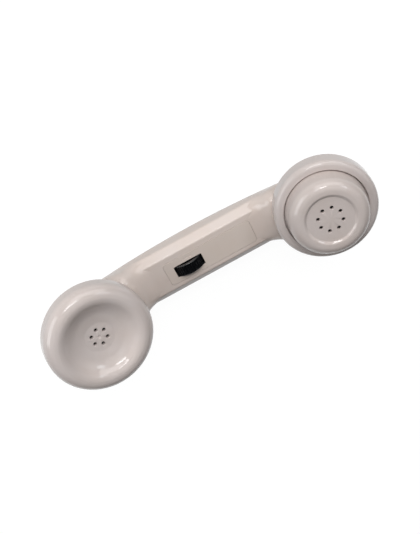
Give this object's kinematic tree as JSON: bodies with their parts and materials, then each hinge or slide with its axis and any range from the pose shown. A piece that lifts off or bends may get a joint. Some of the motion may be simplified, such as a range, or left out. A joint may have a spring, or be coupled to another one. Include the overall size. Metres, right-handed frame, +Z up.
{
  "type": "telephone_handset",
  "caption": "Amplified telephone handset with a screw-on ear cap, a microphone drum and a volume thumbwheel in the handle",
  "frame": {"origin": "On the surface that the handset lies on, under the middle of its outer box, back of the handle down", "axes": "+X from the ear end to the mouth end, +Y across the handle, +Z up out of both faces"},
  "size_m": [0.211, 0.0634, 0.063],
  "materials": {
    "case_plastic": "gloss moulded plastic, pale warm grey-beige",
    "black_plastic": "satin black plastic",
    "inner_plastic": "plain dark moulded plastic",
    "board": "green coated circuit board",
    "steel": "plain steel",
    "brass": "plain brass",
    "rubber": "soft black rubber",
    "fabric": "fine black woven screen",
    "aluminium": "bright aluminium",
    "copper_wire": "enamelled copper winding"
  },
  "bodies": {
    "handset": {"amplifier_board": "board", "amplifier_chip": "inner_plastic", "board_capacitors": "aluminium", "board_resistors": "inner_plastic", "board_screws": "steel", "control_body": "inner_plastic", "control_plate": "case_plastic", "cord_socket": "inner_plastic", "cup_contact_springs": "brass", "cup_screws": "brass", "ear_cap": "case_plastic", "ear_dust_screen": "fabric", "handle_shell": "case_plastic", "mic_back_plate": "inner_plastic", "mic_board": "board", "mic_boot": "rubber", "mic_capsule": "aluminium", "mic_contact_rings": "brass", "mic_dust_screen": "fabric", "mic_housing": "case_plastic", "microphone_leads": "rubber", "mouth_ring": "case_plastic", "receiver_case": "aluminium", "receiver_coil": "copper_wire", "receiver_diaphragm": "aluminium", "receiver_faceplate": "aluminium", "receiver_gasket": "rubber", "receiver_leads": "rubber", "receiver_magnet": "steel", "receiver_pole_piece": "steel", "receiver_terminal_board": "inner_plastic", "receiver_terminal_screws": "brass", "socket_contacts": "brass", "socket_leads": "rubber", "transmitter_cup": "inner_plastic", "wheel_bracket": "inner_plastic"},
    "wheel": {"volume_wheel": "black_plastic", "wheel_shaft": "steel"}
  },
  "joints": [
    {"name": "volume_turn", "type": "hinge", "parent": "handset", "child": "wheel", "pos_m": [-0.00948, -0.0014, 0.0137], "axis": [0, 1, 0], "range_deg": [-135, 135]}
  ]
}
